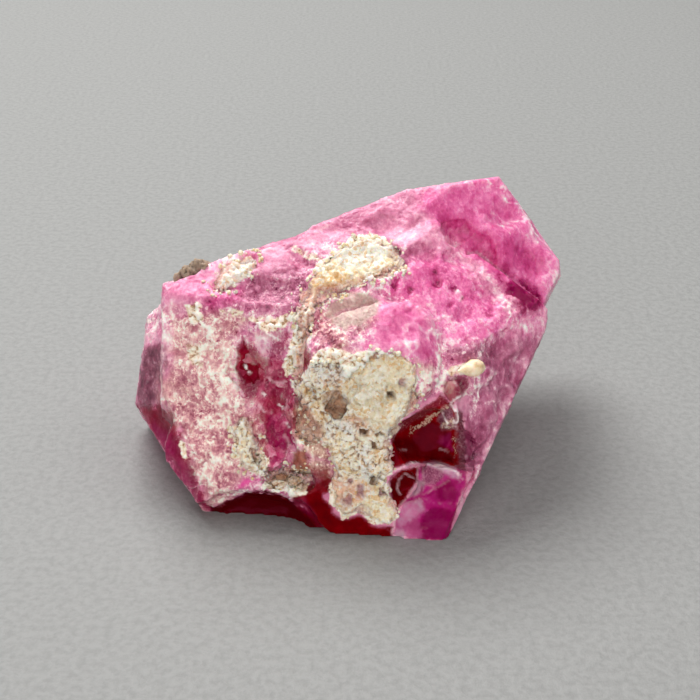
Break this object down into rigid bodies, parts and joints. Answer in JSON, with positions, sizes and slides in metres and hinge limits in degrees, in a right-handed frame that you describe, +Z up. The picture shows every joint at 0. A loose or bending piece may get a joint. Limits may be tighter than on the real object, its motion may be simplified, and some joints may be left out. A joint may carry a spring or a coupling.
{
  "type": "red beryl twin crystal",
  "caption": "Intergrown raspberry red hexagonal beryl crystals, broken and frosted in front, with a glassy hollow and cream crusts of matrix. Lies on a surface.",
  "frame": {"origin": "bottom middle of the whole object's box, on the surface it lies on", "axes": "+X to the right along the long crystal as seen from the broken front, +Y away from the front, +Z up"},
  "size_m": [0.0134, 0.0108, 0.008],
  "materials": {
    "red_beryl": "vitreous where clear, frosted and bruised where broken",
    "cream_matrix": "matt, grainy and porous",
    "brown_matrix": "matt",
    "cream_mineral": "waxy"
  },
  "bodies": {
    "root": {"twin_crystal": "red_beryl", "matrix_furrow": "cream_matrix", "matrix_corner": "cream_matrix", "matrix_patch": "cream_matrix", "matrix_arch": "cream_matrix", "matrix_back": "brown_matrix", "cream_grain": "cream_mineral"}
  },
  "joints": []
}
